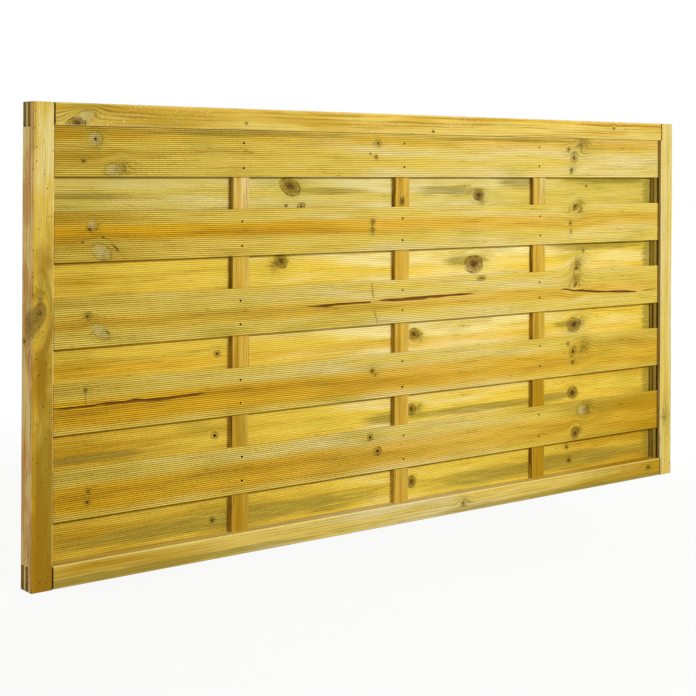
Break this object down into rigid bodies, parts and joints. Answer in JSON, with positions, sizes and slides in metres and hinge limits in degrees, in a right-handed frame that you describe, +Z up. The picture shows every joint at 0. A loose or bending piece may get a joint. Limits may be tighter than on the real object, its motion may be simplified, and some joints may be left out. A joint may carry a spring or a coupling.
{
  "type": "privacy fence panel",
  "caption": "Rectangular timber fence panel: a jointed frame holding two overlapping rows of horizontal reeded slats that block the view but let air through.",
  "frame": {"origin": "centre of the left stile's outer face, half way up the panel and half way through its depth", "axes": "+X along the panel from the left stile to the right one, -Y out of the front, whose slats touch the top rail, +Z up"},
  "size_m": [1.8, 0.045, 0.9],
  "materials": {
    "frame_timber": "satin",
    "slat_timber": "satin",
    "batten_timber": "satin"
  },
  "bodies": {
    "root": {"stile_left": "frame_timber", "stile_right": "frame_timber", "rail_top": "frame_timber", "rail_bottom": "frame_timber", "front_slat_1": "slat_timber", "front_slat_2": "slat_timber", "front_slat_3": "slat_timber", "front_slat_4": "slat_timber", "front_slat_5": "slat_timber", "back_slat_1": "slat_timber", "back_slat_2": "slat_timber", "back_slat_3": "slat_timber", "back_slat_4": "slat_timber", "back_slat_5": "slat_timber", "batten_left": "batten_timber", "batten_1": "batten_timber", "batten_2": "batten_timber", "batten_3": "batten_timber", "batten_right": "batten_timber"}
  },
  "joints": []
}
